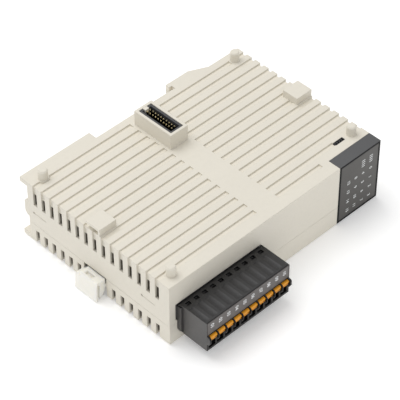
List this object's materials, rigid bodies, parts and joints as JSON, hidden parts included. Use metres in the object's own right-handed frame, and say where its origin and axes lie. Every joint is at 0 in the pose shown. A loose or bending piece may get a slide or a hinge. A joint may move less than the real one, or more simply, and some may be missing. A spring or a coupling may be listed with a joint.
{
  "type": "plc input module",
  "caption": "Slim controller expansion module with ribbed vented case, pull-off terminal plug with spring levers, indicator window, stacking bus connector and rail clip.",
  "frame": {"origin": "middle of the base on which the module lies, which is its lower mating side", "axes": "+Z from the lower mating side to the ribbed mating side, +X along the module's height towards the indicator window, -Y out of the front, +Y towards the mounting rail"},
  "size_m": [0.1042, 0.0826, 0.031],
  "materials": {
    "case": "light beige moulded plastic, fine matt texture",
    "window_frame": "dark blue-grey moulded plastic, satin",
    "window_tint": "smoke-tinted translucent plastic, satin",
    "clear_plastic": "clear light guide",
    "led": "small indicator lamps",
    "board": "green solder mask",
    "black_plastic": "black glass-filled plastic",
    "steel": "plated steel",
    "gold": "gold-plated contact metal",
    "tin": "tinned metal",
    "dark_plastic": "dark grey glass-filled plastic, satin",
    "marker": "dark grey marker strip with plain numbers",
    "latch": "off-white slippery plastic, slightly translucent",
    "chip": "black moulded package",
    "white_chip": "white moulded package",
    "capacitor": "aluminium can",
    "ferrite": "dark ferrite",
    "ceramic": "ceramic parts",
    "lever": "orange moulded plastic, satin"
  },
  "bodies": {
    "case": {"case_body": "case", "case_cover": "case", "window_bezel": "window_frame", "window_lens": "window_tint", "light_guide": "clear_plastic", "indicator_leds": "led", "indicator_board": "board", "indicator_connector": "black_plastic", "main_board": "board", "board_screws": "steel", "bus_header": "black_plastic", "bus_header_pins": "gold", "bus_socket": "black_plastic", "bus_socket_contacts": "gold", "service_socket": "black_plastic", "service_contacts": "tin", "terminal_header": "dark_plastic", "terminal_header_pins": "tin", "slider_spring": "steel", "processor_chip": "chip", "bus_chip": "chip", "converter_chips": "chip", "dc_converter": "black_plastic", "isolators": "white_chip", "filter_capacitors": "capacitor", "power_inductor": "ferrite", "crystal": "tin", "small_parts": "ceramic"},
    "plug": {"plug_body": "dark_plastic", "marker_strip": "marker", "plug_contacts": "gold", "clamp_springs": "steel"},
    "latch_a": {"coupling_latch_a": "latch"},
    "latch_b": {"coupling_latch_b": "latch"},
    "slider": {"rail_slider": "case"},
    "lever_01": {"lever_01": "lever"},
    "lever_02": {"lever_02": "lever"},
    "lever_03": {"lever_03": "lever"},
    "lever_04": {"lever_04": "lever"},
    "lever_05": {"lever_05": "lever"},
    "lever_06": {"lever_06": "lever"},
    "lever_07": {"lever_07": "lever"},
    "lever_08": {"lever_08": "lever"},
    "lever_09": {"lever_09": "lever"},
    "lever_10": {"lever_10": "lever"}
  },
  "joints": [
    {"name": "plug_pull", "type": "slide", "parent": "case", "child": "plug", "axis": [0, -1, 0], "range_m": [0, 0.012]},
    {"name": "latch_a_slide", "type": "slide", "parent": "case", "child": "latch_a", "axis": [-1, 0, 0], "range_m": [0, 0.0024]},
    {"name": "latch_b_slide", "type": "slide", "parent": "case", "child": "latch_b", "axis": [1, 0, 0], "range_m": [0, 0.0024]},
    {"name": "rail_slider_slide", "type": "slide", "parent": "case", "child": "slider", "axis": [-1, 0, 0], "range_m": [0, 0.003], "stiffness_N_per_m": 600, "deforming": ["slider_spring"]},
    {"name": "lever_01_press", "type": "slide", "parent": "plug", "child": "lever_01", "axis": [0, 1, 0], "range_m": [0, 0.0012], "stiffness_N_per_m": 400},
    {"name": "lever_02_press", "type": "slide", "parent": "plug", "child": "lever_02", "axis": [0, 1, 0], "range_m": [0, 0.0012], "stiffness_N_per_m": 400},
    {"name": "lever_03_press", "type": "slide", "parent": "plug", "child": "lever_03", "axis": [0, 1, 0], "range_m": [0, 0.0012], "stiffness_N_per_m": 400},
    {"name": "lever_04_press", "type": "slide", "parent": "plug", "child": "lever_04", "axis": [0, 1, 0], "range_m": [0, 0.0012], "stiffness_N_per_m": 400},
    {"name": "lever_05_press", "type": "slide", "parent": "plug", "child": "lever_05", "axis": [0, 1, 0], "range_m": [0, 0.0012], "stiffness_N_per_m": 400},
    {"name": "lever_06_press", "type": "slide", "parent": "plug", "child": "lever_06", "axis": [0, 1, 0], "range_m": [0, 0.0012], "stiffness_N_per_m": 400},
    {"name": "lever_07_press", "type": "slide", "parent": "plug", "child": "lever_07", "axis": [0, 1, 0], "range_m": [0, 0.0012], "stiffness_N_per_m": 400},
    {"name": "lever_08_press", "type": "slide", "parent": "plug", "child": "lever_08", "axis": [0, 1, 0], "range_m": [0, 0.0012], "stiffness_N_per_m": 400},
    {"name": "lever_09_press", "type": "slide", "parent": "plug", "child": "lever_09", "axis": [0, 1, 0], "range_m": [0, 0.0012], "stiffness_N_per_m": 400},
    {"name": "lever_10_press", "type": "slide", "parent": "plug", "child": "lever_10", "axis": [0, 1, 0], "range_m": [0, 0.0012], "stiffness_N_per_m": 400}
  ]
}
